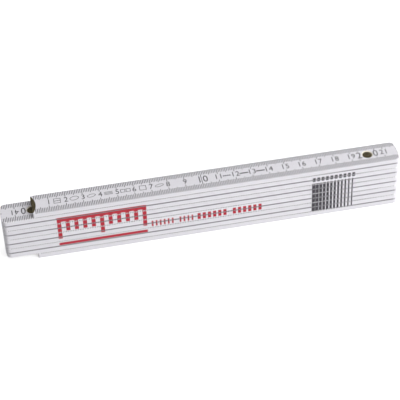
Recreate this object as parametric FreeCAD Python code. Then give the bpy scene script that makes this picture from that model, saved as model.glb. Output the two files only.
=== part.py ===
"""Ten-section wooden folding rule, two metres long, folded flat.

Frame: origin at the centre of the folded rule's box, on its lower face. +X runs along the sections,
from the zero end to the first hinge. +Y runs across their width, and +Z up through the stack.
All sizes are in millimetres.
"""

import FreeCAD
import Part
import math
import os

from FreeCAD import Vector

# ---------------------------------------------------------------- driving dimensions

# sections: painted wooden strips stacked one above the other
SECTION_COUNT = 10
HINGE_PITCH = 200.0  # between the two hinge axes of a section: 20 cm of the scale
SECTION_WIDTH = 16.0
SECTION_THICKNESS = 3.3
SECTION_GAP = 0.2  # air between the faces of neighbouring sections
END_OVERHANG = 18.5  # from a hinge axis to the crown of the rounded end
END_CROWN = 0.9  # how far the middle of a rounded end stands beyond its corners
END_CORNER_RADIUS = 2.8
FREE_CORNER_RADIUS = 0.8  # corners of the square ends at zero and at two metres
EDGE_ROUNDING = 0.25  # eased edge all round both faces

# hinge plates: spring steel stampings let into the facing sides of two sections
PLATE_THICKNESS = 0.5
PLATE_ARM_WIDTH = 9.0
PLATE_NECK_RADIUS = 1.5  # where an arm runs into the disc
PLATE_POCKET_CLEARANCE = 0.1  # all round a plate in its pocket
PLATE_END_WALL = 2.0  # wood left between a plate and the crown of the rounded end
PLATE_SIDE_WALL = 1.5  # wood left between a plate's disc and each long side

# detent: ribs on the upper plate snap over grooves in the lower plate every quarter turn
RIB_COUNT = 2
GROOVE_COUNT = 4
RIB_WIDTH = 1.0
RIB_CLEARANCE = 0.08  # between a rib and the lower plate while it rides between two grooves
RIB_INNER_WALL = 1.7  # plate left between the pivot hole and a rib
RIB_OUTER_WALL = 0.6  # plate left between a rib and the rim of the disc
GROOVE_DEPTH = 0.2
GROOVE_CLEARANCE = 0.2  # all round a rib in its groove

# pivot rivet: a steel rivet whose domed heads show in a bore on each outer face
PIVOT_SHANK_DIAMETER = 3.2
PIVOT_HEAD_DIAMETER = 5.6
PIVOT_RUNNING_CLEARANCE = 0.05  # radial and axial, where the lower plate turns on the rivet
PIVOT_BORE_CLEARANCE = 0.1  # radial, between a head and the bore in the wood
PIVOT_HEAD_RECESS = 0.12  # from the crest of a head to the outer face of the wood
PIVOT_DOME_HEIGHT = 0.3
PIVOT_DIMPLE_DIAMETER = 1.7
PIVOT_DIMPLE_DEPTH = 0.25
BORE_CHAMFER = 0.45

# plate rivets: concealed rivets that hold a plate to its section, one in each rounded arm end
PLATE_RIVET_DIAMETER = 2.2
PLATE_RIVET_HEAD_DIAMETER = 3.6
PLATE_RIVET_HEAD_HEIGHT = 0.25
PLATE_RIVET_COVER = 0.9  # wood left between a rivet's tip and the outer face

# end caps: folded sheet metal clips on the two free ends
CAP_SHEET = 0.4
CAP_SIDE_MARGIN = 0.7  # wood that shows on each side of a cap
CAP_FLANGE_DEPTH = 2.5  # reach of the curved flange along the section, at mid width
CAP_CRIMP_DIAMETER = 1.4
CAP_CRIMP_DEPTH = 0.15

# ---------------------------------------------------------------- derived sizes

SECTION_PITCH = SECTION_THICKNESS + SECTION_GAP
HALF_PITCH = HINGE_PITCH / 2
HALF_WIDTH = SECTION_WIDTH / 2
PLATE_DISC_RADIUS = HALF_WIDTH - PLATE_SIDE_WALL
PLATE_ARM_REACH = END_OVERHANG - PLATE_END_WALL - PLATE_ARM_WIDTH / 2  # axis to the round arm end's centre
RIB_HEIGHT = SECTION_GAP - RIB_CLEARANCE
RIB_INNER_RADIUS = PIVOT_SHANK_DIAMETER / 2 + RIB_INNER_WALL
RIB_OUTER_RADIUS = PLATE_DISC_RADIUS - RIB_OUTER_WALL
PIVOT_BORE_DIAMETER = PIVOT_HEAD_DIAMETER + 2 * PIVOT_BORE_CLEARANCE
CAP_WIDTH = SECTION_WIDTH - 2 * CAP_SIDE_MARGIN
PLATE_RIVET_DEPTH = SECTION_THICKNESS - PLATE_RIVET_COVER  # from the section's inner face to the tip
CUT_MARGIN = 1.0  # how far a cutting solid runs past the face that it opens

UP = Vector(0, 0, 1)


# ---------------------------------------------------------------- layout of the stack


def section_base(number):
    """Height of the lower face of a section; section 1 lies on top."""
    return (SECTION_COUNT - number) * SECTION_PITCH


def hinge_side(number):
    """Which end of the stack hinge 1, 2, ... lies at: +1 for the right end, -1 for the left."""
    return 1 if number % 2 else -1


def hinge_middle(number):
    """Point on the axis of a hinge, halfway between the two sections that it joins."""
    height = section_base(number) - SECTION_GAP / 2
    return Vector(hinge_side(number) * HALF_PITCH, 0, height)


def hinge_numbers_of(number):
    """The hinges of a section: the one that it shares with the section above, then below."""
    return [hinge for hinge in (number - 1, number) if 1 <= hinge < SECTION_COUNT]


def free_end_side(number):
    """Side of the square free end of the first or last section."""
    return -hinge_side(hinge_numbers_of(number)[0])


# ---------------------------------------------------------------- small helpers


def vertical_prism(face, base, height):
    """Prism standing on a flat face drawn at z = 0."""
    prism = face.extrude(Vector(0, 0, height))
    prism.translate(Vector(0, 0, base))
    return prism


def cylinder(radius, height, base_centre):
    return Part.makeCylinder(radius, height, base_centre, UP)


def spherical_cap(radius, height, foot_centre):
    """Solid cap of a sphere that stands on a circle of the given radius."""
    ball_radius = (radius**2 + height**2) / (2 * height)
    ball_centre = foot_centre + Vector(0, 0, height - ball_radius)
    ball = Part.makeSphere(ball_radius, ball_centre)
    return ball.common(cylinder(radius, 2 * height, foot_centre))


def turned_over(shape, centre):
    """The shape turned half a turn about the X axis through a point."""
    turned = shape.copy()
    turned.rotate(centre, Vector(1, 0, 0), 180)
    return turned


def single_solid(shape):
    """The one solid of a boolean result, with split faces joined."""
    return shape.removeSplitter().Solids[0]


# ---------------------------------------------------------------- wooden sections


def rounded_end_edges(side):
    """Corner, crowned end and corner of a section's hinged end, from the -Y side to the +Y side."""
    crown_x = HALF_PITCH + END_OVERHANG
    crown_radius = (HALF_WIDTH**2 + END_CROWN**2) / (2 * END_CROWN)
    crown_centre_x = crown_x - crown_radius
    corner_y = HALF_WIDTH - END_CORNER_RADIUS
    corner_reach = crown_radius - END_CORNER_RADIUS
    corner_x = crown_centre_x + math.sqrt(corner_reach**2 - corner_y**2)
    tangent_angle = math.atan2(corner_y, corner_x - crown_centre_x)
    middle_angle = (tangent_angle + math.pi / 2) / 2

    def corner_point(angle, sign):
        x = corner_x + END_CORNER_RADIUS * math.cos(angle)
        y = corner_y + END_CORNER_RADIUS * math.sin(angle)
        return Vector(side * x, sign * y, 0)

    crown = Vector(side * crown_x, 0, 0)
    edges = []
    for sign, order in ((-1, 1), (1, -1)):
        angles = (math.pi / 2, middle_angle, tangent_angle)[::order]
        edges.append(Part.Arc(*[corner_point(angle, sign) for angle in angles]).toShape())
    crown_arc = Part.Arc(corner_point(tangent_angle, -1), crown, corner_point(tangent_angle, 1))
    return [edges[0], crown_arc.toShape(), edges[1]]


def square_end_edges(side):
    """Corner, straight end and corner of a free end, from the -Y side to the +Y side."""
    radius = FREE_CORNER_RADIUS
    corner_x = HALF_PITCH - radius
    corner_y = HALF_WIDTH - radius

    def corner_point(angle, sign):
        x = corner_x + radius * math.cos(angle)
        y = corner_y + radius * math.sin(angle)
        return Vector(side * x, sign * y, 0)

    edges = []
    for sign, order in ((-1, 1), (1, -1)):
        angles = (math.pi / 2, math.pi / 4, 0)[::order]
        edges.append(Part.Arc(*[corner_point(angle, sign) for angle in angles]).toShape())
    straight = Part.LineSegment(corner_point(0, -1), corner_point(0, 1)).toShape()
    return [edges[0], straight, edges[1]]


def section_outline(number):
    """Flat outline of a section, drawn at z = 0."""
    hinged_sides = {hinge_side(hinge) for hinge in hinge_numbers_of(number)}
    edges = []
    for side in (1, -1):
        edges.append(rounded_end_edges(side) if side in hinged_sides else square_end_edges(side))
    right, left = edges
    lower = Part.LineSegment(left[0].Vertexes[0].Point, right[0].Vertexes[0].Point).toShape()
    upper = Part.LineSegment(left[2].Vertexes[-1].Point, right[2].Vertexes[-1].Point).toShape()
    wire = Part.Wire(Part.__sortEdges__(right + left + [lower, upper]))
    return Part.Face(wire)


def section_blank(number):
    """A section before it is let in for its hinges: strip with eased edges round both faces."""
    base = section_base(number)
    blank = vertical_prism(section_outline(number), base, SECTION_THICKNESS)
    faces = (base, base + SECTION_THICKNESS)
    rims = [
        edge
        for edge in blank.Edges
        if any(all(abs(vertex.Z - z) < 1e-6 for vertex in edge.Vertexes) for z in faces)
    ]
    return blank.makeFillet(EDGE_ROUNDING, rims)


def hinge_cutter(hinge):
    """What one hinge takes out of the section above it: pocket, pivot bore and rivet holes."""
    middle = hinge_middle(hinge)
    inner_face = middle.z + SECTION_GAP / 2
    outer_face = inner_face + SECTION_THICKNESS
    pocket = plate_body(middle, inner_face - CUT_MARGIN, PLATE_THICKNESS + CUT_MARGIN, PLATE_POCKET_CLEARANCE)
    bore_radius = PIVOT_BORE_DIAMETER / 2
    bore = cylinder(bore_radius, SECTION_THICKNESS + CUT_MARGIN, Vector(middle.x, 0, inner_face))
    chamfer = Part.makeCone(
        bore_radius,
        bore_radius + BORE_CHAMFER + CUT_MARGIN,
        BORE_CHAMFER + CUT_MARGIN,
        Vector(middle.x, 0, outer_face - BORE_CHAMFER),
        UP,
    )
    holes = [
        cylinder(PLATE_RIVET_DIAMETER / 2, PLATE_RIVET_DEPTH, Vector(x, 0, inner_face))
        for x in plate_rivet_places(middle)
    ]
    return pocket.fuse([bore, chamfer] + holes)


def section(number):
    """A finished wooden section, with the seats of its hinges and of its end cap."""
    wood = section_blank(number)
    cutters = []
    for hinge in hinge_numbers_of(number):
        cutter = hinge_cutter(hinge)
        is_above = hinge == number
        cutters.append(cutter if is_above else turned_over(cutter, hinge_middle(hinge)))
    if number in (1, SECTION_COUNT):
        cutters.append(end_cap_body(number))
    return single_solid(wood.cut(cutters))


# ---------------------------------------------------------------- hinge plates


def plate_rivet_places(middle):
    """X of the two concealed rivets of a plate."""
    return [middle.x + side * PLATE_ARM_REACH for side in (-1, 1)]


def plate_body(middle, base, height, grow=0.0):
    """Round disc with an arm on each side, as a plain slab; grow widens it all round."""
    arm_radius = PLATE_ARM_WIDTH / 2 + grow
    disc_radius = PLATE_DISC_RADIUS + grow
    corner = Vector(middle.x - PLATE_ARM_REACH, -arm_radius, base)
    slab = Part.makeBox(2 * PLATE_ARM_REACH, 2 * arm_radius, height, corner)
    rounds = [cylinder(arm_radius, height, Vector(x, 0, base)) for x in plate_rivet_places(middle)]
    disc = cylinder(disc_radius, height, Vector(middle.x, 0, base))
    body = single_solid(slab.fuse(rounds + [disc]))
    neck_x = math.sqrt(disc_radius**2 - arm_radius**2)
    necks = [
        edge
        for edge in body.Edges
        if len(edge.Vertexes) == 2
        and all(
            abs(abs(vertex.X - middle.x) - neck_x) < 1e-3 and abs(abs(vertex.Y) - arm_radius) < 1e-3
            for vertex in edge.Vertexes
        )
        and abs(edge.Vertexes[0].Z - edge.Vertexes[1].Z) > height / 2
    ]
    return body.makeFillet(PLATE_NECK_RADIUS - grow, necks)


def radial_bars(middle, count, base, height, grow=0.0):
    """Round-ended bars that point away from the hinge axis, evenly spaced round it."""
    half_width = RIB_WIDTH / 2 + grow
    inner = RIB_INNER_RADIUS + RIB_WIDTH / 2
    outer = RIB_OUTER_RADIUS - RIB_WIDTH / 2
    bars = []
    for index in range(count):
        box = Part.makeBox(outer - inner, 2 * half_width, height, Vector(inner, -half_width, 0))
        ends = [cylinder(half_width, height, Vector(x, 0, 0)) for x in (inner, outer)]
        bar = single_solid(box.fuse(ends))
        bar.rotate(Vector(0, 0, 0), UP, index * 360 / count)
        bar.translate(Vector(middle.x, 0, base))
        bars.append(bar)
    return bars


def plate_rivet_counterbores(middle, inner_face):
    """Seats of the rivet heads in the upper plate, open towards the lower plate."""
    radius = PLATE_RIVET_HEAD_DIAMETER / 2
    height = PLATE_RIVET_HEAD_HEIGHT + CUT_MARGIN
    return [
        cylinder(radius, height, Vector(x, 0, inner_face - CUT_MARGIN)) for x in plate_rivet_places(middle)
    ]


def blank_plate(hinge, pivot_hole_radius):
    """Plate of the section above a hinge, with its three holes and no detent."""
    middle = hinge_middle(hinge)
    inner_face = middle.z + SECTION_GAP / 2
    plate = plate_body(middle, inner_face, PLATE_THICKNESS)
    pivot_hole = cylinder(pivot_hole_radius, PLATE_THICKNESS, Vector(middle.x, 0, inner_face))
    rivet_holes = [
        cylinder(PLATE_RIVET_DIAMETER / 2, PLATE_THICKNESS, Vector(x, 0, inner_face))
        for x in plate_rivet_places(middle)
    ]
    seats = plate_rivet_counterbores(middle, inner_face)
    return plate.cut([pivot_hole] + rivet_holes + seats)


def upper_plate(hinge):
    """Plate of the section above a hinge, with the detent ribs; the rivet is staked into it."""
    middle = hinge_middle(hinge)
    inner_face = middle.z + SECTION_GAP / 2
    plate = blank_plate(hinge, PIVOT_SHANK_DIAMETER / 2)
    ribs = radial_bars(middle, RIB_COUNT, inner_face - RIB_HEIGHT, RIB_HEIGHT + PLATE_THICKNESS / 2)
    return single_solid(plate.fuse(ribs))


def lower_plate(hinge):
    """Plate of the section below a hinge, with the detent grooves; it turns on the rivet."""
    middle = hinge_middle(hinge)
    inner_face = middle.z - SECTION_GAP / 2
    hole_radius = PIVOT_SHANK_DIAMETER / 2 + PIVOT_RUNNING_CLEARANCE
    plate = turned_over(blank_plate(hinge, hole_radius), middle)
    grooves = radial_bars(
        middle, GROOVE_COUNT, inner_face - GROOVE_DEPTH, GROOVE_DEPTH + SECTION_GAP / 2, GROOVE_CLEARANCE
    )
    return single_solid(plate.cut(grooves))


# ---------------------------------------------------------------- rivets


def pivot_head(radius, foot_centre, height):
    """Thick round head with a low dome and a punched dimple, pointing up."""
    drum_height = height - PIVOT_DOME_HEIGHT
    drum = cylinder(radius, drum_height, foot_centre)
    dome = spherical_cap(radius, PIVOT_DOME_HEIGHT, foot_centre + Vector(0, 0, drum_height))
    crest = foot_centre + Vector(0, 0, height)
    dimple = turned_over(spherical_cap(PIVOT_DIMPLE_DIAMETER / 2, PIVOT_DIMPLE_DEPTH, crest), crest)
    return drum.fuse(dome).cut(dimple)


def pivot_rivet(hinge):
    """Rivet through both plates: shank, head staked on the upper plate, head under the lower one."""
    middle = hinge_middle(hinge)
    seat = SECTION_GAP / 2 + PLATE_THICKNESS
    crest = SECTION_GAP / 2 + SECTION_THICKNESS - PIVOT_HEAD_RECESS
    radius = PIVOT_HEAD_DIAMETER / 2
    upper = pivot_head(radius, middle + Vector(0, 0, seat), crest - seat)
    lower_seat = seat + PIVOT_RUNNING_CLEARANCE
    lower = pivot_head(radius, middle + Vector(0, 0, lower_seat), crest - lower_seat)
    shank = cylinder(PIVOT_SHANK_DIAMETER / 2, seat + lower_seat, middle - Vector(0, 0, lower_seat))
    return single_solid(shank.fuse([upper, turned_over(lower, middle)]))


def plate_rivet(x, inner_face):
    """Concealed rivet that points up from a plate into the wood above it."""
    head = cylinder(PLATE_RIVET_HEAD_DIAMETER / 2, PLATE_RIVET_HEAD_HEIGHT, Vector(x, 0, inner_face))
    shank = cylinder(PLATE_RIVET_DIAMETER / 2, PLATE_RIVET_DEPTH, Vector(x, 0, inner_face))
    return single_solid(head.fuse(shank))


def plate_rivets(number):
    """All the concealed rivets of one section, two for each of its plates."""
    rivets = []
    for hinge in hinge_numbers_of(number):
        middle = hinge_middle(hinge)
        for x in plate_rivet_places(middle):
            rivet = plate_rivet(x, middle.z + SECTION_GAP / 2)
            rivets.append(rivet if hinge == number else turned_over(rivet, middle))
    return Part.Compound(rivets)


# ---------------------------------------------------------------- end caps


def end_cap_body(number):
    """Clip over a free end: end wall and two curved flanges, flush with the wood."""
    base = section_base(number)
    side = free_end_side(number)
    end_x = side * HALF_PITCH
    half_cap = CAP_WIDTH / 2
    bow = CAP_FLANGE_DEPTH - CAP_SHEET
    arc_radius = (half_cap**2 + bow**2) / (2 * bow)
    arc_centre_x = end_x + side * (arc_radius - CAP_FLANGE_DEPTH)
    flange = cylinder(arc_radius, SECTION_THICKNESS, Vector(arc_centre_x, 0, base))
    reach = Part.makeBox(
        CAP_FLANGE_DEPTH,
        CAP_WIDTH,
        SECTION_THICKNESS,
        Vector(min(end_x, end_x - side * CAP_FLANGE_DEPTH), -half_cap, base),
    )
    core_start = end_x - side * CAP_SHEET
    core_end = core_start - side * CAP_FLANGE_DEPTH
    core = Part.makeBox(
        CAP_FLANGE_DEPTH,
        CAP_WIDTH + 2 * CUT_MARGIN,
        SECTION_THICKNESS - 2 * CAP_SHEET,
        Vector(min(core_start, core_end), -half_cap - CUT_MARGIN, base + CAP_SHEET),
    )
    return single_solid(section_blank(number).common(flange.common(reach)).cut(core))


def end_cap(number):
    """End cap with a small crimp in the middle of each flange."""
    base = section_base(number)
    side = free_end_side(number)
    crimp_x = side * (HALF_PITCH - (CAP_SHEET + CAP_FLANGE_DEPTH) / 2)
    top = Vector(crimp_x, 0, base + SECTION_THICKNESS)
    middle = Vector(crimp_x, 0, base + SECTION_THICKNESS / 2)
    upper_crimp = turned_over(spherical_cap(CAP_CRIMP_DIAMETER / 2, CAP_CRIMP_DEPTH, top), top)
    return single_solid(end_cap_body(number).cut([upper_crimp, turned_over(upper_crimp, middle)]))


# ---------------------------------------------------------------- assembly


def build_nodes():
    """Every sub-part of the rule by name."""
    nodes = {}
    for number in range(1, SECTION_COUNT + 1):
        nodes[f"section_{number:02d}"] = section(number)
        nodes[f"section_{number:02d}_plate_rivets"] = plate_rivets(number)
    for hinge in range(1, SECTION_COUNT):
        nodes[f"hinge_{hinge}_upper_plate"] = upper_plate(hinge)
        nodes[f"hinge_{hinge}_lower_plate"] = lower_plate(hinge)
        nodes[f"hinge_{hinge}_pivot_rivet"] = pivot_rivet(hinge)
    nodes["zero_end_cap"] = end_cap(1)
    nodes["far_end_cap"] = end_cap(SECTION_COUNT)
    return nodes


def main():
    os.makedirs("parts", exist_ok=True)
    for name, shape in sorted(build_nodes().items()):
        if not shape.isValid() or any(solid.Volume <= 0 for solid in shape.Solids):
            raise ValueError(f"{name} isn't a valid solid")
        shape.exportStep(f"parts/{name}.step")
        print(f"{name}: {len(shape.Solids)} solid(s), {shape.Volume:.2f} mm3")


main()
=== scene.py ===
"""Looks of a ten-section wooden folding rule: printed scales, edge print, finishes, light and camera.

Lengths in the constants and fields are in millimetres, and become metres where a mesh is made. The hinges
stand HINGE_REACH from the middle of a section. Ink lies from INK_SUNK below the lacquer to INK_RISE above.
"""

import logging
import math
from collections.abc import Iterator
from contextlib import contextmanager
from dataclasses import dataclass, field
from enum import Enum

import bmesh
import bpy
from mathutils import Matrix, Vector


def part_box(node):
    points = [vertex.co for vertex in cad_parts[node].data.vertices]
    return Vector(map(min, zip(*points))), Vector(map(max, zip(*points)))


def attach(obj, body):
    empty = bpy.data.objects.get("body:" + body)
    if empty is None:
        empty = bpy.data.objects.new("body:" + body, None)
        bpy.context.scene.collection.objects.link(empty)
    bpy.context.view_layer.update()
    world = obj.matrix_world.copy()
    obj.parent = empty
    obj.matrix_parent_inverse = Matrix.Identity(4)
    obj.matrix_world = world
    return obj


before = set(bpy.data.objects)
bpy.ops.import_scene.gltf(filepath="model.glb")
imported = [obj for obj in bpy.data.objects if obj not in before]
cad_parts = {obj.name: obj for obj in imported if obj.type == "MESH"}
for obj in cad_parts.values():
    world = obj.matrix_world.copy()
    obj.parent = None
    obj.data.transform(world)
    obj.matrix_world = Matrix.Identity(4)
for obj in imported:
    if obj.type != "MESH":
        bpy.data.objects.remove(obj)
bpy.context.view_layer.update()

Piece = bpy.types.Object
Socket = bpy.types.NodeSocket
Pair = tuple[float, float]
Triple = tuple[float, float, float]

MM = 0.001
CENTIMETRE = 10.0
HINGE_REACH = 100.0
INK_RISE = 0.02
INK_SUNK = 0.01
log = logging.getLogger("folding_rule")


# ---- choices


class Face(Enum):
    """The two broad faces of a section."""

    UPPER = "upper"
    LOWER = "lower"


class End(Enum):
    """What a section's face has at one end of its scale."""

    FREE = "capped free end"
    BORE = "bore with the head of a pivot rivet"
    PLATE = "pocket with a hinge plate"


class Outline(Enum):
    """The outlined marks, by how many corners they are drawn with."""

    FRAME = 4
    OVAL = 20


# ---- bench work


def deselect_all() -> None:
    """Clears the selection in object mode."""
    bpy.ops.object.select_all(action="DESELECT")


def pick(*pieces: Piece) -> Piece:
    """Selects only the given pieces.

    Args:
        pieces: The pieces to select; the first becomes the active one.

    Returns:
        The active piece.
    """
    deselect_all()
    for piece in pieces:
        piece.select_set(True)
    bpy.context.view_layer.objects.active = pieces[0]
    return pieces[0]


def apply_place(piece: Piece) -> Piece:
    """Moves a piece's place into its mesh, so that its object sits at the origin.

    Args:
        piece: The piece to settle.

    Returns:
        The same piece.
    """
    pick(piece)
    bpy.ops.object.transform_apply(location=True, rotation=True, scale=True)
    return piece


def apply_modifier(piece: Piece, kind: str, **settings: object) -> None:
    """Adds a modifier to a piece and applies it.

    Args:
        piece: The piece to change.
        kind: The modifier's type, such as "ARRAY".
        settings: The modifier's values by name.
    """
    pick(piece)
    modifier = piece.modifiers.new(kind.lower(), kind)
    for key, value in settings.items():
        setattr(modifier, key, value)
    bpy.ops.object.modifier_apply(modifier=modifier.name)


def repeat(piece: Piece, count: int, step: Vector) -> Piece:
    """Repeats a piece in a row.

    Args:
        piece: The first of the row.
        count: How many there are in all.
        step: From one to the next, in metres.

    Returns:
        The piece, now holding the whole row.
    """
    offset = {"use_relative_offset": False, "use_constant_offset": True, "constant_offset_displace": step}
    apply_modifier(piece, "ARRAY", count=count, **offset)
    return piece


def slab(name: str, low: Vector, high: Vector) -> Piece:
    """A flat bar of ink between two corners.

    Args:
        name: The name of the new piece.
        low: Its lowest corner, in metres.
        high: Its highest corner, in metres.

    Returns:
        The new piece, settled at the origin.
    """
    deselect_all()
    bpy.ops.mesh.primitive_cube_add(size=1, location=(low + high) / 2, scale=high - low)
    piece = bpy.context.object
    piece.name = name
    return apply_place(piece)


@contextmanager
def editing(piece: Piece, kind: str, action: str) -> Iterator[None]:
    """Opens a piece for editing, and closes it again.

    Args:
        piece: The piece to edit.
        kind: What is selected: "VERT", "EDGE" or "FACE".
        action: "SELECT" to begin with all of it, or "DESELECT" to begin with nothing.

    Yields:
        Nothing; the piece is in edit mode meanwhile.
    """
    pick(piece)
    bpy.ops.object.mode_set(mode="EDIT")
    bpy.ops.mesh.select_mode(type=kind)
    bpy.ops.mesh.select_all(action=action)
    yield
    bpy.ops.object.mode_set(mode="OBJECT")


def shift_vertices(piece: Piece, low: Vector, high: Vector, by: Vector) -> None:
    """Moves the vertices inside a box.

    Args:
        piece: The piece to shape.
        low: The lowest corner of the box, in metres.
        high: The highest corner of the box, in metres.
        by: How far they go, in metres.
    """
    with editing(piece, "VERT", "DESELECT"):
        mesh = bmesh.from_edit_mesh(piece.data)
        for vertex in mesh.verts:
            vertex.select = all(low[axis] < vertex.co[axis] < high[axis] for axis in range(3))
        mesh.select_flush(True)
        bmesh.update_edit_mesh(piece.data)
        bpy.ops.transform.translate(value=by)


def trim(piece: Piece, point: Vector, outward: Vector, close: bool = True) -> None:
    """Cuts off what lies beyond a plane.

    Args:
        piece: The piece to cut.
        point: A point on the plane, in metres.
        outward: The plane's normal, towards what is cut off.
        close: Whether the cut gets a face, as a piece that already has thickness needs.
    """
    with editing(piece, "VERT", "SELECT"):
        bpy.ops.mesh.bisect(plane_co=point, plane_no=outward, use_fill=close, clear_outer=True)


def join(name: str, pieces: list[Piece]) -> Piece:
    """Joins pieces into one.

    Args:
        name: The name of the joined piece.
        pieces: The pieces, at least one.

    Returns:
        The joined piece.
    """
    whole = pick(*pieces)
    if len(pieces) > 1:
        bpy.ops.object.join()
    whole.name = name
    whole.data.name = name
    return whole


def duplicate(master: Piece, name: str, place: Matrix) -> Piece:
    """Copies a piece with its own mesh.

    Args:
        master: The piece to copy.
        name: The name of the copy.
        place: Where the copy goes.

    Returns:
        The copy, not yet settled.
    """
    copy = master.copy()
    copy.data = master.data.copy()
    copy.name = name
    bpy.context.scene.collection.objects.link(copy)
    copy.matrix_world = place
    return copy


def discard(piece: Piece) -> None:
    """Removes a master once its copies are made."""
    bpy.data.objects.remove(piece, do_unlink=True)


# ---- finishes


@dataclass
class Sheet:
    """A new node material with a few short ways to wire it."""

    name: str
    material: bpy.types.Material = field(init=False)

    def __post_init__(self) -> None:
        """Starts the material with its principled shader."""
        self.material = bpy.data.materials.new(self.name)
        self.material.use_nodes = True

    @property
    def shader(self) -> bpy.types.ShaderNode:
        """The principled shader of the material."""
        return self.material.node_tree.nodes["Principled BSDF"]

    def node(self, kind: str, **settings: object) -> bpy.types.ShaderNode:
        """Adds a node.

        Args:
            kind: The node's type, such as "ShaderNodeMath".
            settings: Its properties by name.

        Returns:
            The new node.
        """
        made = self.material.node_tree.nodes.new(kind)
        for key, value in settings.items():
            setattr(made, key, value)
        return made

    def wire(self, source: Socket, target: Socket) -> None:
        """Links two sockets."""
        self.material.node_tree.links.new(source, target)

    def feed(self, value: Socket | float | Triple, target: Socket) -> None:
        """Links a socket, or sets a plain number or colour on it."""
        if isinstance(value, Socket):
            self.wire(value, target)
        else:
            target.default_value = (*value, 1.0) if isinstance(value, tuple) else value

    def shade(self, inputs: dict[str, Socket | float | Triple]) -> None:
        """Links or sets the shader's own inputs by name."""
        for key, value in inputs.items():
            self.feed(value, self.shader.inputs[key])

    def math(self, operation: str, first: Socket | float, second: Socket | float = 0.0) -> Socket:
        """Adds a math node.

        Args:
            operation: The node's operation, such as "MULTIPLY".
            first: Its first value.
            second: Its second value.

        Returns:
            The result.
        """
        made = self.node("ShaderNodeMath", operation=operation)
        self.feed(first, made.inputs[0])
        self.feed(second, made.inputs[1])
        return made.outputs[0]

    def place(self) -> Socket:
        """The place on the piece, in metres."""
        return self.node("ShaderNodeTexCoord").outputs["Object"]

    def noise(self, scale: Triple, detail: float = 3.0, rough: float = 0.55) -> Socket:
        """Adds a stretched noise.

        Args:
            scale: Cycles to the metre along each axis.
            detail: How many finer layers it has.
            rough: How strong the finer layers are.

        Returns:
            The noise, around a half.
        """
        mapping = self.node("ShaderNodeMapping")
        self.wire(self.place(), mapping.inputs["Vector"])
        mapping.inputs["Scale"].default_value = scale
        noise = self.node("ShaderNodeTexNoise")
        noise.inputs["Scale"].default_value = 1.0
        noise.inputs["Detail"].default_value = detail
        noise.inputs["Roughness"].default_value = rough
        self.wire(mapping.outputs["Vector"], noise.inputs["Vector"])
        return noise.outputs["Fac"]

    def spread(
        self, value: Socket, low: float, high: float, start: float = 0.3, stop: float = 0.7
    ) -> Socket:
        """Maps a value onto a new range, held at both ends.

        Args:
            value: The value to map.
            low: The result at the start.
            high: The result at the stop.
            start: Where the value's range starts.
            stop: Where the value's range stops.

        Returns:
            The mapped value.
        """
        made = self.node("ShaderNodeMapRange")
        self.wire(value, made.inputs["Value"])
        for key, number in (("From Min", start), ("From Max", stop), ("To Min", low), ("To Max", high)):
            made.inputs[key].default_value = number
        return made.outputs["Result"]

    def inside(self, value: Socket, reach: float) -> Socket:
        """1 where a value in metres is within a reach in millimetres of zero, and 0 elsewhere."""
        return self.math("LESS_THAN", self.math("ABSOLUTE", value), reach * MM)

    def blend(self, amount: Socket, first: Socket | Triple, second: Socket | Triple) -> Socket:
        """Mixes two colours.

        Args:
            amount: How much of the second colour there is, from 0 to 1.
            first: The first colour.
            second: The second colour.

        Returns:
            The mixed colour.
        """
        made = self.node("ShaderNodeMix", data_type="RGBA")
        self.wire(amount, made.inputs["Factor"])
        self.feed(first, made.inputs[6])
        self.feed(second, made.inputs[7])
        return made.outputs[2]

    def relief(self, height: Socket, depth: float, strength: float) -> None:
        """Gives the shader a bumpy surface.

        Args:
            height: The pattern of heights, from 0 to 1.
            depth: The height of a full step, in millimetres.
            strength: How much of it shows.
        """
        bump = self.node("ShaderNodeBump")
        bump.inputs["Distance"].default_value = depth * MM
        bump.inputs["Strength"].default_value = strength
        self.wire(height, bump.inputs["Height"])
        self.shade({"Normal": bump.outputs["Normal"]})


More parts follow.
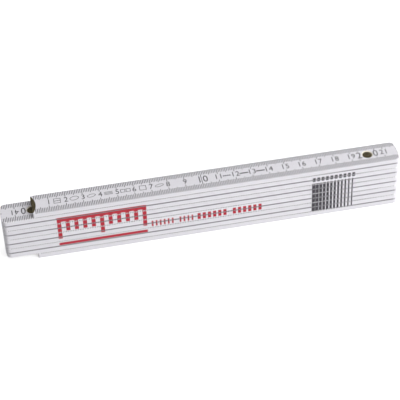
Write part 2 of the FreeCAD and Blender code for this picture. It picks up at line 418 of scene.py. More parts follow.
@dataclass(frozen=True)
class LacqueredWood:
    """White lacquer over fine-grained wood, bare where it was milled after lacquering.

    The eased edges that face another section carry painted shade, darker where the hinges hold the sections
    apart, and painted light, lighter than the lacquer, where they touch.
    """

    lacquer: Triple = (0.78, 0.765, 0.81)
    grain: Triple = (0.69, 0.675, 0.715)
    bare: Triple = (0.93, 0.88, 0.77)
    bare_grain: Triple = (0.81, 0.73, 0.59)
    # Painted light and painted shade for the eased edges between sections: lighter where they touch, darker
    # where the hinges hold them apart.
    clean_rim: Triple = (0.96, 0.95, 0.98)
    dusty_rim: Triple = (0.47, 0.46, 0.49)
    fine_scale: Triple = (25.0, 900.0, 900.0)
    pore_scale: Triple = (120.0, 2600.0, 2600.0)
    sheen_scale: Triple = (60.0, 400.0, 400.0)
    sheen: Pair = (0.34, 0.46)
    bare_roughness: float = 0.75
    specular: float = 0.4
    grain_contrast: float = 0.8
    relief_depth: float = 0.04
    relief_strength: float = 0.35
    right_opening: Pair = (55.0, 95.0)
    left_opening: Pair = (70.0, 112.0)
    pitch: float = 3.5
    thickness: float = 3.3
    stack_height: float = 34.8
    half_width: float = 8.0
    rim: float = 0.38
    lacquer_depth: float = 0.05
    bore_radius: float = 3.38
    pocket_half_length: float = 17.2
    pocket_half_width: float = 6.7

    def material(self) -> bpy.types.Material:
        """Builds the finish.

        Returns:
            The material for every wooden section.
        """
        sheet = Sheet("white_lacquered_wood")
        axes = sheet.node("ShaderNodeSeparateXYZ")
        sheet.wire(sheet.place(), axes.inputs[0])
        along, across, up = axes.outputs
        strip = sheet.math("DIVIDE", up, self.pitch * MM)
        height = sheet.math("MULTIPLY", sheet.math("FRACT", strip), self.pitch * MM)
        middle = sheet.math("SUBTRACT", height, self.thickness / 2 * MM)
        milled = self.milled(sheet, along, across, middle)
        fine = sheet.noise(self.fine_scale, detail=4.0, rough=0.6)
        pores = sheet.noise(self.pore_scale, detail=2.0, rough=0.5)
        strip_noise = sheet.node("ShaderNodeTexWhiteNoise", noise_dimensions="1D")
        sheet.wire(sheet.math("FLOOR", strip), strip_noise.inputs["W"])
        tone = sheet.spread(strip_noise.outputs["Value"], low=0.0, high=0.5, start=0.0, stop=1.0)
        shade = sheet.math("ADD", sheet.spread(fine, low=0.0, high=0.45), tone)
        painted = sheet.blend(sheet.math("MULTIPLY", shade, self.grain_contrast), self.lacquer, self.grain)
        # Painted shade and painted light: the eased edges between sections are darkened where the hinges
        # hold them apart, standing in for the shade in the gap, and lightened where they touch.
        rim_light_and_shade = sheet.blend(self.opening(sheet, along, strip), self.clean_rim, self.dusty_rim)
        painted = sheet.blend(self.rims(sheet, across, up, middle), painted, rim_light_and_shade)
        raw = sheet.blend(sheet.spread(fine, low=0.0, high=1.0), self.bare, self.bare_grain)
        smooth = sheet.spread(sheet.noise(self.sheen_scale), *self.sheen)
        rough = sheet.math("MAXIMUM", smooth, sheet.math("MULTIPLY", milled, self.bare_roughness))
        colour = sheet.blend(milled, painted, raw)
        sheet.shade({"Base Color": colour, "Roughness": rough, "Specular IOR Level": self.specular})
        bumps = sheet.math("ADD", sheet.math("MULTIPLY", fine, 0.6), pores)
        sheet.relief(bumps, self.relief_depth, self.relief_strength)
        return sheet.material

    def milled(self, sheet: Sheet, along: Socket, across: Socket, middle: Socket) -> Socket:
        """Finds the bare wood: the bores with their chamfers, and the pockets under the plates.

        Args:
            sheet: The wood's material.
            along: The place along the rule, in metres.
            across: The place across it, in metres.
            middle: The height above the middle of the section, in metres.

        Returns:
            1 on bare wood and 0 on lacquer.
        """
        from_axis = sheet.math("SUBTRACT", sheet.math("ABSOLUTE", along), HINGE_REACH * MM)
        squares = [sheet.math("POWER", sheet.math("ABSOLUTE", part), 2.0) for part in (from_axis, across)]
        radius = sheet.math("SQRT", sheet.math("ADD", *squares))
        bore = sheet.math("LESS_THAN", radius, self.bore_radius * MM)
        pocket = sheet.inside(from_axis, self.pocket_half_length)
        pocket = sheet.math("MULTIPLY", pocket, sheet.inside(across, self.pocket_half_width))
        core = sheet.inside(middle, self.thickness / 2 - self.lacquer_depth)
        return sheet.math("MULTIPLY", sheet.math("MAXIMUM", bore, pocket), core)

    def rims(self, sheet: Sheet, across: Socket, up: Socket, middle: Socket) -> Socket:
        """Finds the eased edges that face another section, which get painted shade and painted light.

        Args:
            sheet: The wood's material.
            across: The place across the rule, in metres.
            up: The place up the stack, in metres.
            middle: The height above the middle of the section, in metres.

        Returns:
            1 on the eased edges and 0 elsewhere.
        """
        side = sheet.math("SUBTRACT", 1.0, sheet.inside(across, self.half_width - self.rim))
        rim = sheet.math("SUBTRACT", 1.0, sheet.inside(middle, self.thickness / 2 - self.rim))
        from_centre = sheet.math("SUBTRACT", up, self.stack_height / 2 * MM)
        within = sheet.inside(from_centre, self.stack_height / 2 - 2 * self.rim)
        return sheet.math("MULTIPLY", sheet.math("MULTIPLY", side, rim), within)

    def opening(self, sheet: Sheet, along: Socket, strip: Socket) -> Socket:
        """Tells how far apart the hinges hold two neighbouring sections, which sets how much painted shade
        their eased edges get.

        Args:
            sheet: The wood's material.
            along: The place along the rule, in metres.
            strip: The height in section pitches.

        Returns:
            From 0 where the sections touch to 1 where they stand apart.
        """
        gap = sheet.math("ROUND", strip)
        odd = sheet.math("MODULO", gap, 2.0)
        near, far = (reach * MM for reach in self.right_opening)
        right_hinge = sheet.spread(along, low=0.0, high=1.0, start=near, stop=far)
        near, far = (reach * MM for reach in self.left_opening)
        left_hinge = sheet.spread(along, low=1.0, high=0.0, start=near, stop=far)
        picked = sheet.node("ShaderNodeMix", data_type="FLOAT")
        for index, value in ((0, odd), (2, left_hinge), (3, right_hinge)):
            sheet.wire(value, picked.inputs[index])
        return picked.outputs[0]


@dataclass(frozen=True)
class DarkBrass:
    """Brass-plated steel with a darkened, slightly mottled surface."""

    name: str
    bright: Triple
    dark: Triple
    shine: Pair
    cloud_scale: Triple = (420.0, 420.0, 420.0)
    scratch_scale: Triple = (300.0, 5000.0, 3000.0)
    metallic: float = 0.85

    def material(self) -> bpy.types.Material:
        """Builds the finish.

        Returns:
            The metal's material.
        """
        sheet = Sheet(self.name)
        clouds = sheet.noise(self.cloud_scale, detail=5.0, rough=0.6)
        amount = sheet.spread(clouds, low=0.0, high=1.0, start=0.35, stop=0.65)
        colour = sheet.blend(amount, self.bright, self.dark)
        scratches = sheet.noise(self.scratch_scale, detail=2.0, rough=0.5)
        rough = sheet.spread(scratches, *self.shine)
        sheet.shade({"Base Color": colour, "Metallic": self.metallic, "Roughness": rough})
        sheet.relief(sheet.math("ADD", clouds, scratches), depth=0.03, strength=0.4)
        return sheet.material


@dataclass(frozen=True)
class Ink:
    """Printing ink that lies thinly on the lacquer, a little uneven in its cover."""

    name: str
    full: Triple
    thin: Triple
    cover_scale: Triple = (700.0, 1800.0, 1800.0)

    def material(self) -> bpy.types.Material:
        """Builds the finish.

        Returns:
            The ink's material.
        """
        sheet = Sheet(self.name)
        cover = sheet.noise(self.cover_scale, detail=4.0, rough=0.65)
        amount = sheet.spread(cover, low=0.0, high=1.0, start=0.45, stop=0.8)
        colour = sheet.blend(amount, self.full, self.thin)
        sheet.shade({"Base Color": colour, "Roughness": sheet.spread(cover, low=0.42, high=0.6)})
        sheet.relief(cover, depth=0.01, strength=0.3)
        return sheet.material


# ---- places on the sections


@dataclass(frozen=True)
class Section:
    """One wooden section and the way its scale runs.

    On a face, u runs along the scale from the section's middle, v up the figures, and w out of the wood.
    """

    number: int
    count: int = 10
    span_cm: int = 20

    @property
    def name(self) -> str:
        """The name of the section's node and of its body."""
        return f"section_{self.number:02d}"

    @property
    def start_cm(self) -> int:
        """The centimetre at the start of the section's own span."""
        return self.span_cm * (self.number - 1)

    @property
    def reads_backwards(self) -> bool:
        """Whether the scale runs towards -X while the rule is folded."""
        return self.number % 2 == 0

    def ends(self, face: Face) -> tuple[End, End]:
        """What lies at the start and the finish of a face.

        Args:
            face: The face asked about.

        Returns:
            The start and the finish.
        """
        start, finish = (End.PLATE, End.BORE) if face is Face.UPPER else (End.BORE, End.PLATE)
        if self.number == 1:
            start = End.FREE
        if self.number == self.count:
            finish = End.FREE
        return start, finish

    def place(self, face: Face) -> Matrix:
        """Where a print made in u, v and w goes.

        Args:
            face: The face that it is printed on.

        Returns:
            The matrix from the print's own axes to the frame.
        """
        low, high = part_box(self.name)
        level = high.z if face is Face.UPPER else low.z
        place = Matrix.Translation((0.0, 0.0, level))
        if self.reads_backwards:
            place = place @ Matrix.Rotation(math.pi, 4, "Z")
        if face is Face.LOWER:
            place = place @ Matrix.Rotation(math.pi, 4, "X")
        return place

    def u_of(self, centimetre: int) -> float:
        """The place of a centimetre along the section, in millimetres from its middle."""
        return (centimetre - self.start_cm) * CENTIMETRE - HINGE_REACH


# ---- printed scale


@dataclass
class TickRows:
    """The two rows of millimetre ticks along the edges of a face. The corner cuts are angles in radians."""

    width: float = 0.36
    millimetre: float = 3.8
    half_centimetre: float = 4.6
    centimetre: float = 5.2
    beside_bore: float = 4.2
    beside_plate: float = 1.1
    plate_reach: float = 17.0
    face_half_width: float = 8.0
    eased_edge: float = 0.25
    fold_steps: int = 3
    side_wrap: float = 0.04
    last_tick: float = 117.0
    cap_reach: float = 2.0
    end_crown: float = 118.5
    crown_height: float = 0.9
    corner_radius: float = 2.8
    corner_cuts: Triple = (0.3, 0.7, 1.1)
    run_start: float = -120.0
    run_centimetres: int = 24
    between_ticks: float = 0.5
    tip_box: Triple = (0.5, 0.1, 1.0)
    slack: float = 0.01
    plain_ticks: int = 4
    masters: dict[tuple[End, End], Piece] = field(default_factory=dict)

    def tick(self, u: float, length: float) -> Piece:
        """One tick that runs in from the edge, and folds over the eased edge onto the side.

        Args:
            u: Its place along the face, in millimetres.
            length: How far it runs in from the side of the section, in millimetres.

        Returns:
            The tick, still without thickness.
        """
        flat = length - self.eased_edge
        fold = self.face_half_width - self.eased_edge
        deselect_all()
        bpy.ops.mesh.primitive_plane_add(size=1, location=Vector((u, fold - flat / 2, 0)) * MM)
        piece = bpy.context.object
        piece.scale = (self.width * MM, flat * MM, 1)
        apply_place(piece)
        bends = [math.radians(90 * step / self.fold_steps) for step in range(self.fold_steps + 1)]
        route = [Vector((0, math.sin(bend), math.cos(bend))) * self.eased_edge * MM for bend in bends]
        route.append(route[-1] - Vector((0, 0, self.side_wrap * MM)))
        with editing(piece, "EDGE", "DESELECT"):
            mesh = bmesh.from_edit_mesh(piece.data)
            for edge in mesh.edges:
                edge.select = all(vertex.co.y > (fold - self.slack) * MM for vertex in edge.verts)
            bmesh.update_edit_mesh(piece.data)
            for here, there in zip(route, route[1:]):
                bpy.ops.mesh.extrude_region_move(TRANSFORM_OT_translate={"value": there - here})
        return piece

    def thicken(self, row: Piece) -> None:
        """Gives strips the thickness of ink, most of it above the lacquer."""
        depth = INK_RISE + INK_SUNK
        lift = (INK_RISE - INK_SUNK) / depth
        apply_modifier(row, "SOLIDIFY", thickness=depth * MM, offset=lift, use_even_offset=True)

    def decades(self) -> Piece:
        """The ticks of every centimetre from one end of a section to the other.

        Returns:
            The row along one edge as thin strips. Its middle tick meets the one across from it.
        """
        start, half = self.run_start, self.run_start + CENTIMETRE / 2
        pieces = [self.tick(start, self.centimetre), self.tick(half, self.half_centimetre)]
        for before in (start, half):
            plain = self.tick(before + 1, self.millimetre)
            pieces.append(repeat(plain, self.plain_ticks, Vector((MM, 0, 0))))
        row = repeat(join("ticks", pieces), self.run_centimetres, Vector((CENTIMETRE * MM, 0, 0)))
        self.move_tip(row, 0.0, self.centimetre - self.face_half_width)
        return row

    def move_tip(self, row: Piece, u: float, outwards: float) -> None:
        """Moves the inner tip of a centimetre tick.

        Args:
            row: The row of ticks.
            u: The tick's place, in millimetres.
            outwards: How far its tip moves towards the edge, in millimetres.
        """
        tip = Vector((u, self.face_half_width - self.centimetre, 0.0))
        near = Vector(self.tip_box)
        shift_vertices(row, (tip - near) * MM, (tip + near) * MM, Vector((0, outwards * MM, 0)))

    def round_corner(self, row: Piece, side: int) -> None:
        """Trims the ticks to the rounded corner of a hinged end.

        Args:
            row: The row of ticks.
            side: 1 for the finish of the scale and -1 for its start.
        """
        crown_radius = (self.face_half_width**2 + self.crown_height**2) / (2 * self.crown_height)
        corner_v = self.face_half_width - self.corner_radius
        reach = crown_radius - self.corner_radius
        corner_u = self.end_crown - crown_radius + math.sqrt(reach**2 - corner_v**2)
        inset = self.corner_radius - self.eased_edge
        for angle in self.corner_cuts:
            outward = Vector((side * math.cos(angle), math.sin(angle), 0.0))
            centre = Vector((side * corner_u, corner_v, 0.0))
            trim(row, (centre + outward * inset) * MM, outward, close=False)

    def master(self, start: End, finish: End) -> Piece:
        """The ticks of a face, made once for each kind of face.

        Args:
            start: What lies at the start of the scale.
            finish: What lies at its finish.

        Returns:
            The master to copy.
        """
        key = (start, finish)
        if key in self.masters:
            return self.masters[key]
        row = self.decades()
        pieces = [row]
        for side, end in ((-1, start), (1, finish)):
            limit = {
                End.FREE: HINGE_REACH - self.cap_reach,
                End.BORE: self.last_tick,
                End.PLATE: HINGE_REACH - self.plate_reach - 1,
            }[end]
            cut = side * (limit + self.between_ticks) * MM
            trim(row, Vector((cut, 0, 0)), Vector((side, 0, 0)), close=False)
            if end is End.BORE:
                self.move_tip(row, side * HINGE_REACH, self.centimetre - self.beside_bore)
                self.round_corner(row, side)
            if end is End.PLATE:
                short = self.tick(side * self.last_tick, self.beside_plate)
                count = round(self.last_tick - limit)
                repeat(short, count, Vector((-side * MM, 0, 0)))
                self.round_corner(short, side)
                pieces.append(short)
        rows = join("ticks_master", pieces)
        self.thicken(rows)
        apply_modifier(rows, "MIRROR", use_axis=(False, True, False), use_clip=False, use_mirror_merge=False)
        self.masters[key] = rows
        return rows


@dataclass
class DigitSet:
    """The ten figures of one height, drawn upright and narrow."""

    height: float
    narrowing: float
    weld: float = 0.001
    figures: dict[str, Piece] = field(default_factory=dict)

    def figure(self, digit: str) -> Piece:
        """One figure, centred on its own outline.

        Args:
            digit: The figure wanted.

        Returns:
            The master to copy.
        """
        if digit in self.figures:
            return self.figures[digit]
        deselect_all()
        bpy.ops.object.text_add(location=(0, 0, 0))
        piece = bpy.context.object
        piece.data.body = digit
        piece.data.size = 1.0
        piece.data.resolution_u = 3
        piece.data.extrude = 0.5
        bpy.ops.object.convert(target="MESH")
        piece = bpy.context.object
        corners = [vertex.co for vertex in piece.data.vertices]
        low = [min(corner[axis] for corner in corners) for axis in range(2)]
        high = [max(corner[axis] for corner in corners) for axis in range(2)]
        tall = self.height * MM / (high[1] - low[1])
        middle = Vector(((low[0] + high[0]) / 2, (low[1] + high[1]) / 2, 0))
        thick = (INK_RISE + INK_SUNK) * MM
        lift = (INK_RISE - INK_SUNK) / 2 * MM
        shape = Matrix.Diagonal((tall * self.narrowing, tall, thick, 1.0))
        piece.matrix_world = Matrix.Translation((0, 0, lift)) @ shape @ Matrix.Translation(-middle)
        apply_place(piece)
        with editing(piece, "VERT", "SELECT"):
            bpy.ops.mesh.remove_doubles(threshold=self.weld * MM)
            bpy.ops.mesh.normals_make_consistent(inside=False)
        piece.name = f"figure_{digit}"
        self.figures[digit] = piece
        return piece

    def half_width(self, digit: str) -> float:
        """Half the width of a figure, in millimetres."""
        return self.figure(digit).dimensions.x / 2 / MM

    def put(self, digit: str, u: float, v: float) -> Piece:
        """Copies a figure to its middle point on a face, in millimetres."""
        return duplicate(self.figure(digit), "figure", Matrix.Translation((u * MM, v * MM, 0)))


@dataclass
class Numbers:
    """The centimetre numbers of a face."""

    small: DigitSet = field(default_factory=lambda: DigitSet(4.1, 0.86))
    large: DigitSet = field(default_factory=lambda: DigitSet(5.5, 0.8))
    small_pitch: float = 2.75
    large_gap: float = 1.0
    line_gap: float = 0.9
    bore_gap: float = 3.6
    v_small: float = 0.3
    v_large: float = 0.1
    plate_clear: float = 18.0
    cut_off: float = 118.1
    three_figures: int = 100
    bore_step: float = 2.6
    plate_step: float = 0.9
    beside_plate: float = 80.0
    nudge: float = 0.15
    cap_clear: float = 3.0
    past_hinge: int = 2
    decade: int = 10

    def plain(self, centimetre: int, u: float) -> list[Piece]:
        """A number that stands on its centimetre tick.

        Args:
            centimetre: The number.
            u: The place of its tick, or a step back from it, in millimetres.

        Returns:
            Its figures.
        """
        text = str(centimetre)
        first = u - (len(text) - 1) * self.small_pitch / 2 + self.nudge
        return [
            self.small.put(digit, first + index * self.small_pitch, self.v_small)
            for index, digit in enumerate(text)
        ]

    def parted(self, centimetre: int, u: float, gap: float) -> list[Piece]:
        """A large number with its last figure after a line or a bore, and the others before it.

        Args:
            centimetre: The number.
            u: The place of the line or bore, in millimetres.
            gap: From there to the nearest figures, in millimetres.

        Returns:
            Its figures.
        """
        text = str(centimetre)
        last = text[-1]
        pieces = [self.large.put(last, u + gap + self.large.half_width(last), self.v_large)]
        edge = u - gap
        for digit in reversed(text[:-1]):
            half = self.large.half_width(digit)
            pieces.append(self.large.put(digit, edge - half, self.v_large))
            edge -= 2 * half + self.large_gap
        return pieces

    def step_back(self, section: Section, face: Face, centimetre: int) -> float:
        """How far a number stands back from its tick to make way for what comes next.

        Args:
            section: The section.
            face: Its face.
            centimetre: The number.

        Returns:
            The step, in millimetres, where three figures meet at a bore or beside a plate.
        """
        following = centimetre + 1
        if following >= self.three_figures and following % section.span_cm == 0:
            return self.bore_step
        plate_next = section.ends(face)[1] is End.PLATE and section.u_of(centimetre) == self.beside_plate
        return self.plate_step if plate_next and centimetre >= self.three_figures else 0.0

    def hidden(self, section: Section, face: Face, centimetre: int) -> bool:
        """Whether a face has no room for a number, or the scale has no such number.

        Args:
            section: The section.
            face: Its face.
            centimetre: The number.

        Returns:
            True where a cap or a plate is in the way, and below 1.
        """
        u = section.u_of(centimetre)
        for side, end in zip((-1, 1), section.ends(face)):
            clear = {End.FREE: self.cap_clear, End.PLATE: self.plate_clear}.get(end)
            if clear is not None and side * u - HINGE_REACH > -clear:
                return True
        return centimetre < 1

    def print_on(self, section: Section, face: Face) -> Piece:
        """Prints the numbers of a face.

        Args:
            section: The section.
            face: Its face.

        Returns:
            The numbers as one piece, in u, v and w.
        """
        pieces: list[Piece] = []
        stop = section.start_cm + section.span_cm + self.past_hinge + 1
        for centimetre in range(section.start_cm - self.past_hinge, stop):
            if self.hidden(section, face, centimetre):
                continue
            u = section.u_of(centimetre)
            if centimetre % section.span_cm == 0:
                pieces += self.parted(centimetre, u, self.bore_gap)
            elif centimetre % self.decade == 0:
                pieces += self.parted(centimetre, u, self.line_gap)
            else:
                pieces += self.plain(centimetre, u - self.step_back(section, face, centimetre))
        numbers = join("numbers", pieces)
        apply_place(numbers)
        for side in (-1, 1):
            trim(numbers, Vector((side * self.cut_off * MM, 0, 0)), Vector((side, 0, 0)))
        return numbers


@dataclass(frozen=True)
class Mark:
    """One outlined mark: the centimetre before it, its shape, its size and its shift from mid-gap."""

    after_cm: int
    shape: Outline
    wide: float
    high: float
    shift: float = 0.0


@dataclass
class ClassMarks:
    """Plain outlines and dashes between the first centimetres, where a rule carries its class marks."""

    line: float = 0.3
    level: float = 0.3
    outlines: tuple[Mark, ...] = (
        Mark(1, Outline.FRAME, 5.2, 2.6),
        Mark(2, Outline.OVAL, 5.4, 3.4),
        Mark(3, Outline.OVAL, 5.2, 2.6),
        Mark(5, Outline.FRAME, 2.2, 3.2, -1.6),
        Mark(5, Outline.FRAME, 2.2, 3.2, 1.6),
        Mark(6, Outline.FRAME, 5.2, 2.4, 0.2),
        Mark(7, Outline.OVAL, 5.4, 2.2),
    )
    framed_bar: Pair = (3.4, 0.4)
    lines_after: int = 4
    lines_step: float = 1.0
    thin_bar: Pair = (5.0, 0.35)
    dashes_after: int = 11
    dashes_shift: float = -1.8
    dashes: int = 4
    dash_pitch: float = 1.2
    dash: Pair = (0.9, 0.9)
    bars_after: tuple[int, ...] = (12, 13)
    bars_shift: float = 0.3
    long_bar: Pair = (5.0, 0.9)

    def bar(self, u: float, v: float, size: Pair) -> Piece:
        """A filled bar of a width and height round a middle point."""
        half = Vector((*size, 0.0)) / 2
        low = Vector((u, v, -INK_SUNK)) - half
        top = Vector((u, v, INK_RISE)) + half
        return slab("mark", low * MM, top * MM)

    def outline(self, u: float, mark: Mark) -> Piece:
        """Draws an outlined mark.

        Args:
            u: The middle along the face, in millimetres.
            mark: The mark.

        Returns:
            The outline, closed and as thick as ink.
        """
        step = math.pi / mark.shape.value
        deselect_all()
        bpy.ops.mesh.primitive_circle_add(vertices=mark.shape.value, radius=1.0, fill_type="NGON")
        piece = bpy.context.object
        scale = MM / 2 / math.cos(step)
        size = Matrix.Diagonal((mark.wide * scale, mark.high * scale, 1.0, 1.0))
        place = Matrix.Translation(Vector((u, self.level, -INK_SUNK)) * MM)
        piece.matrix_world = place @ size @ Matrix.Rotation(step, 4, "Z")
        apply_place(piece)
        with editing(piece, "FACE", "SELECT"):
            bpy.ops.mesh.inset(thickness=self.line * MM)
            bpy.ops.mesh.delete(type="FACE")
            bpy.ops.mesh.select_all(action="SELECT")
            lift = (0, 0, (INK_RISE + INK_SUNK) * MM)
            bpy.ops.mesh.extrude_region_move(TRANSFORM_OT_translate={"value": lift})
            bpy.ops.mesh.select_all(action="SELECT")
            bpy.ops.mesh.normals_make_consistent(inside=False)
        return piece

    def print_on(self, section: Section) -> Piece:
        """Prints the marks of the first section's upper face.

        Args:
            section: The first section.

        Returns:
            The marks as one piece, in u, v and w.
        """
        middle = {gap: section.u_of(gap) + CENTIMETRE / 2 for gap in range(1, section.span_cm)}
        pieces = [self.outline(middle[mark.after_cm] + mark.shift, mark) for mark in self.outlines]
        pieces.append(self.bar(middle[1], self.level, self.framed_bar))
        for step in (1, 0, -1):
            v = self.level + step * self.lines_step
            pieces.append(self.bar(middle[self.lines_after], v, self.thin_bar))
        dash = self.bar(middle[self.dashes_after] + self.dashes_shift, 0.0, self.dash)
        pieces.append(repeat(dash, self.dashes, Vector((self.dash_pitch * MM, 0, 0))))
        pieces += [self.bar(middle[gap] + self.bars_shift, 0.0, self.long_bar) for gap in self.bars_after]
        return join("class_marks", pieces)


# ---- print on the stack's long side


@dataclass(frozen=True)
class Bars:
    """A row of equal upright bars: its left foot, the size of a bar, how many there are and their pitch."""

    x: float
    z: float
    wide: float
    high: float
    count: int = 1
    pitch: float = 0.0


@dataclass
class EdgePrint:
    """Plain stripes on the long side of the folded stack, cut where one section ends and the next begins.

    The red print is a bold band with a comb of graduations over a thin stripe, and a line of small bars. The
    dark print is a row of small blocks over bars that grow thinner to the right.
    """

    side_y: float = -8.0
    bare_rim: float = 0.22
    red: tuple[Bars, ...] = (
        Bars(-87.0, 25.6, 52.4, 3.2),
        Bars(-87.0, 12.6, 2.4, 13.0, 3, 25.0),
        Bars(-82.0, 18.2, 2.4, 7.4, 4, 5.0),
        Bars(-57.0, 18.2, 2.4, 7.4, 4, 5.0),
        Bars(-87.0, 7.5, 52.4, 1.9),
        Bars(-32.0, 11.4, 1.0, 4.2, 6, 2.4),
        Bars(-15.4, 11.4, 1.0, 4.2, 4, 2.4),
        Bars(-4.6, 11.4, 1.9, 4.6, 6, 3.1),
        Bars(16.6, 11.4, 1.9, 4.6, 6, 3.1),
    )
    dark: tuple[Bars, ...] = (
        Bars(65.0, 26.6, 1.7, 2.9, 10, 2.66),
        *(Bars(64.6 + 2.2 * index, 3.2, 2.1 - 0.12 * index, 22.0) for index in range(12)),
    )

    def row(self, bars: Bars) -> Piece:
        """Makes one row of bars."""
        low = Vector((bars.x, self.side_y - INK_RISE, bars.z)) * MM
        top = Vector((bars.x + bars.wide, self.side_y + INK_SUNK, bars.z + bars.high)) * MM
        piece = slab("bars", low, top)
        if bars.count > 1:
            repeat(piece, bars.count, Vector((bars.pitch * MM, 0, 0)))
        return piece

    def whole(self, name: str, rows: tuple[Bars, ...]) -> Piece:
        """Makes a whole print from its rows."""
        return join(name, [self.row(bars) for bars in rows])

    def cut_for(self, whole: Piece, section: Section, name: str) -> Piece | None:
        """The part of a print that lies on one section.

        Args:
            whole: The whole print.
            section: The section.
            name: The name of the new piece.

        Returns:
            The piece, or None where the print misses the section.
        """
        low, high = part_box(section.name)
        piece = duplicate(whole, name, Matrix.Identity(4))
        trim(piece, Vector((0, 0, low.z + self.bare_rim * MM)), Vector((0, 0, -1)))
        if piece.data.vertices:
            trim(piece, Vector((0, 0, high.z - self.bare_rim * MM)), Vector((0, 0, 1)))
        if not piece.data.vertices:
            discard(piece)
            return None
        return piece


# ---- light and camera


@dataclass(frozen=True)
class Softbox:
    """One square soft light: where it hangs, the length of its side, and its power in watts."""

    name: str
    place: Triple
    side: float
    power: float

    def hang(self, aim: Vector) -> None:
        """Hangs the light so that it faces a point, given in metres."""
        place = Vector(self.place) * MM
        deselect_all()
        bpy.ops.object.light_add(type="AREA", location=place)
        light = bpy.context.object
        light.name = self.name
        light.rotation_euler = (aim - place).to_track_quat("-Z", "Y").to_euler()
        light.data.size = self.side * MM
        light.data.energy = self.power


@dataclass(frozen=True)
class Studio:
    """A plain pale floor, soft light and the camera, whose angles are in degrees."""

    aim: Triple = (-1.14, 1.72, 17.4)
    distance: float = 895.4
    heading: float = 9.51
    tilt: float = 41.38
    roll: float = -2.35
    lens: float = 136.05
    sensor: float = 36.0
    clip: Pair = (10.0, 20000.0)
    floor_size: float = 12000.0
    floor_drop: float = 0.05
    floor_tints: tuple[Triple, Triple] = ((0.93, 0.93, 0.935), (0.95, 0.95, 0.955))
    floor_speckle: Triple = (40.0, 40.0, 40.0)
    floor_roughness: float = 0.9
    floor_glow: float = 0.5
    lit_height: float = 20.0
    softboxes: tuple[Softbox, ...] = (
        Softbox("key", (600.0, -800.0, 450.0), side=800.0, power=10.3),
        Softbox("overhead", (150.0, 200.0, 1500.0), side=1200.0, power=4.5),
        Softbox("fill", (900.0, 1000.0, 700.0), side=800.0, power=3.2),
    )
    room: Pair = (0.2, 0.7)

    def camera(self) -> None:
        """Places the camera."""
        heading, tilt, roll = (math.radians(angle) for angle in (self.heading, self.tilt, self.roll))
        level = math.cos(tilt)
        forward = Vector((math.sin(heading) * level, math.cos(heading) * level, -math.sin(tilt)))
        right = forward.cross(Vector((0, 0, 1))).normalized()
        right = Matrix.Rotation(-roll, 3, forward) @ right
        up = right.cross(forward)
        place = Matrix((right, up, -forward)).transposed().to_4x4()
        place.translation = (Vector(self.aim) - forward * self.distance) * MM
        deselect_all()
        bpy.ops.object.camera_add()
        camera = bpy.context.object
        camera.name = "camera"
        camera.matrix_world = place
        camera.data.lens = self.lens
        camera.data.sensor_width = self.sensor
        camera.data.clip_start, camera.data.clip_end = (reach * MM for reach in self.clip)
        bpy.context.scene.camera = camera

    def floor(self) -> None:
        """Lays the floor."""
        deselect_all()
        bpy.ops.mesh.primitive_plane_add(size=self.floor_size * MM, location=(0, 0, -self.floor_drop * MM))
        floor = bpy.context.object
        floor.name = "floor"
        floor.visible_diffuse = False
        sheet = Sheet("pale_floor")
        speckle = sheet.noise(self.floor_speckle, detail=2.0, rough=0.5)
        sheet.shade(
            {
                "Base Color": sheet.blend(speckle, *self.floor_tints),
                "Roughness": self.floor_roughness,
                "Emission Color": (1.0, 1.0, 1.0),
                "Emission Strength": self.floor_glow,
            }
        )
        floor.data.materials.append(sheet.material)

    def lights(self) -> None:
        """Lights the scene: a key in front, one light above, a fill behind, and a room brighter to +X."""
        for softbox in self.softboxes:
            softbox.hang(Vector((0, 0, self.lit_height * MM)))
        world = bpy.data.worlds.new("room")
        world.use_nodes = True
        nodes, links = world.node_tree.nodes, world.node_tree.links
        direction = nodes.new("ShaderNodeTexCoord")
        axes = nodes.new("ShaderNodeSeparateXYZ")
        links.new(direction.outputs["Generated"], axes.inputs[0])
        brightness = nodes.new("ShaderNodeMapRange")
        links.new(axes.outputs[0], brightness.inputs["Value"])
        dim, bright = self.room
        for key, number in (("From Min", -1.0), ("From Max", 1.0), ("To Min", dim), ("To Max", bright)):
            brightness.inputs[key].default_value = number
        links.new(brightness.outputs["Result"], nodes["Background"].inputs["Strength"])
        nodes["Background"].inputs["Color"].default_value = (1.0, 1.0, 1.0, 1.0)
        bpy.context.scene.world = world
        bpy.context.scene.view_settings.view_transform = "Standard"

    def set_up(self) -> None:
        """Sets up the whole studio."""
        self.camera()
        self.floor()
        self.lights()


# ---- the rule


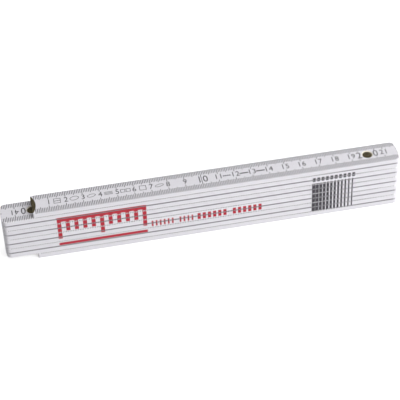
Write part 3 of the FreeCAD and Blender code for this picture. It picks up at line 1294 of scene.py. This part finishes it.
@dataclass
class FoldingRule:
    """The whole rule: its CAD nodes dressed, and its prints made and fixed to their sections."""

    wood: LacqueredWood = LacqueredWood()
    rivets: DarkBrass = DarkBrass("darkened_rivet", (0.11, 0.09, 0.05), (0.05, 0.04, 0.022), (0.38, 0.55))
    plates: DarkBrass = DarkBrass(
        "brassed_spring_steel", (0.42, 0.33, 0.17), (0.27, 0.21, 0.11), (0.3, 0.45)
    )
    caps: DarkBrass = DarkBrass("darkened_cap", (0.12, 0.1, 0.055), (0.06, 0.05, 0.028), (0.4, 0.58))
    scale_ink: Ink = Ink("grey_black_ink", (0.03, 0.028, 0.034), (0.08, 0.075, 0.085))
    red_ink: Ink = Ink("red_ink", (0.4, 0.007, 0.022), (0.47, 0.022, 0.045))
    dark_ink: Ink = Ink("black_ink", (0.025, 0.022, 0.03), (0.07, 0.065, 0.075))
    ticks: TickRows = field(default_factory=TickRows)
    numbers: Numbers = field(default_factory=Numbers)
    marks: ClassMarks = field(default_factory=ClassMarks)
    edge: EdgePrint = field(default_factory=EdgePrint)
    sections: tuple[Section, ...] = tuple(Section(index + 1) for index in range(Section.count))

    def dress_nodes(self) -> None:
        """Gives every CAD node its finish."""
        wood, rivet = self.wood.material(), self.rivets.material()
        plate, cap = self.plates.material(), self.caps.material()
        for name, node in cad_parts.items():
            if name.endswith("_plate"):
                finish = plate
            elif name.endswith(("_rivet", "_rivets")):
                finish = rivet
            elif name.endswith("_cap"):
                finish = cap
            else:
                finish = wood
            node.data.materials.clear()
            node.data.materials.append(finish)
            log.info("%s has the finish %s", name, finish.name)

    def fix(self, piece: Piece, name: str, section: Section, ink: bpy.types.Material) -> None:
        """Finishes a print and lets it ride on its section.

        Args:
            piece: The print, in place.
            name: Its name.
            section: The section that carries it.
            ink: Its material.
        """
        apply_place(piece)
        piece.name = name
        piece.data.name = name
        piece.data.materials.clear()
        piece.data.materials.append(ink)
        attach(piece, section.name)
        log.info("%s: %d faces, rides on %s", name, len(piece.data.polygons), section.name)

    def print_scales(self) -> None:
        """Prints ticks and numbers on both faces of every section."""
        ink = self.scale_ink.material()
        for section in self.sections:
            for face in Face:
                place = section.place(face)
                start, finish = section.ends(face)
                ticks = duplicate(self.ticks.master(start, finish), "ticks", place)
                self.fix(ticks, f"{section.name}_{face.value}_ticks", section, ink)
                numbers = self.numbers.print_on(section, face)
                numbers.matrix_world = place
                self.fix(numbers, f"{section.name}_{face.value}_numbers", section, ink)
        first = self.sections[0]
        marks = self.marks.print_on(first)
        marks.matrix_world = first.place(Face.UPPER)
        self.fix(marks, f"{first.name}_upper_class_marks", first, ink)

    def print_side(self) -> None:
        """Prints the stripes on the long side of the stack."""
        for label, whole, ink in (
            ("red", self.edge.whole("red", self.edge.red), self.red_ink.material()),
            ("dark", self.edge.whole("dark", self.edge.dark), self.dark_ink.material()),
        ):
            for section in self.sections:
                name = f"{section.name}_side_{label}_stripes"
                piece = self.edge.cut_for(whole, section, name)
                if piece is not None:
                    self.fix(piece, name, section, ink)
            discard(whole)

    def clear_masters(self) -> None:
        """Removes the masters that the prints were copied from."""
        figures = [*self.numbers.small.figures.values(), *self.numbers.large.figures.values()]
        for master in [*self.ticks.masters.values(), *figures]:
            discard(master)

    def build(self) -> None:
        """Dresses and prints the whole rule."""
        self.dress_nodes()
        self.print_scales()
        self.print_side()
        self.clear_masters()


def corners(bounds: tuple[Vector, Vector]) -> list[list[float]]:
    """A box as plain lists of numbers."""
    return [[float(value) for value in corner] for corner in bounds]


def main() -> None:
    """Builds the scene."""
    logging.basicConfig(level=logging.INFO, format="%(message)s")
    Studio().set_up()
    log.info("studio: camera, floor and lights are in place")
    FoldingRule().build()
    bpy.context.view_layer.update()


if __name__ == "__main__":
    main()
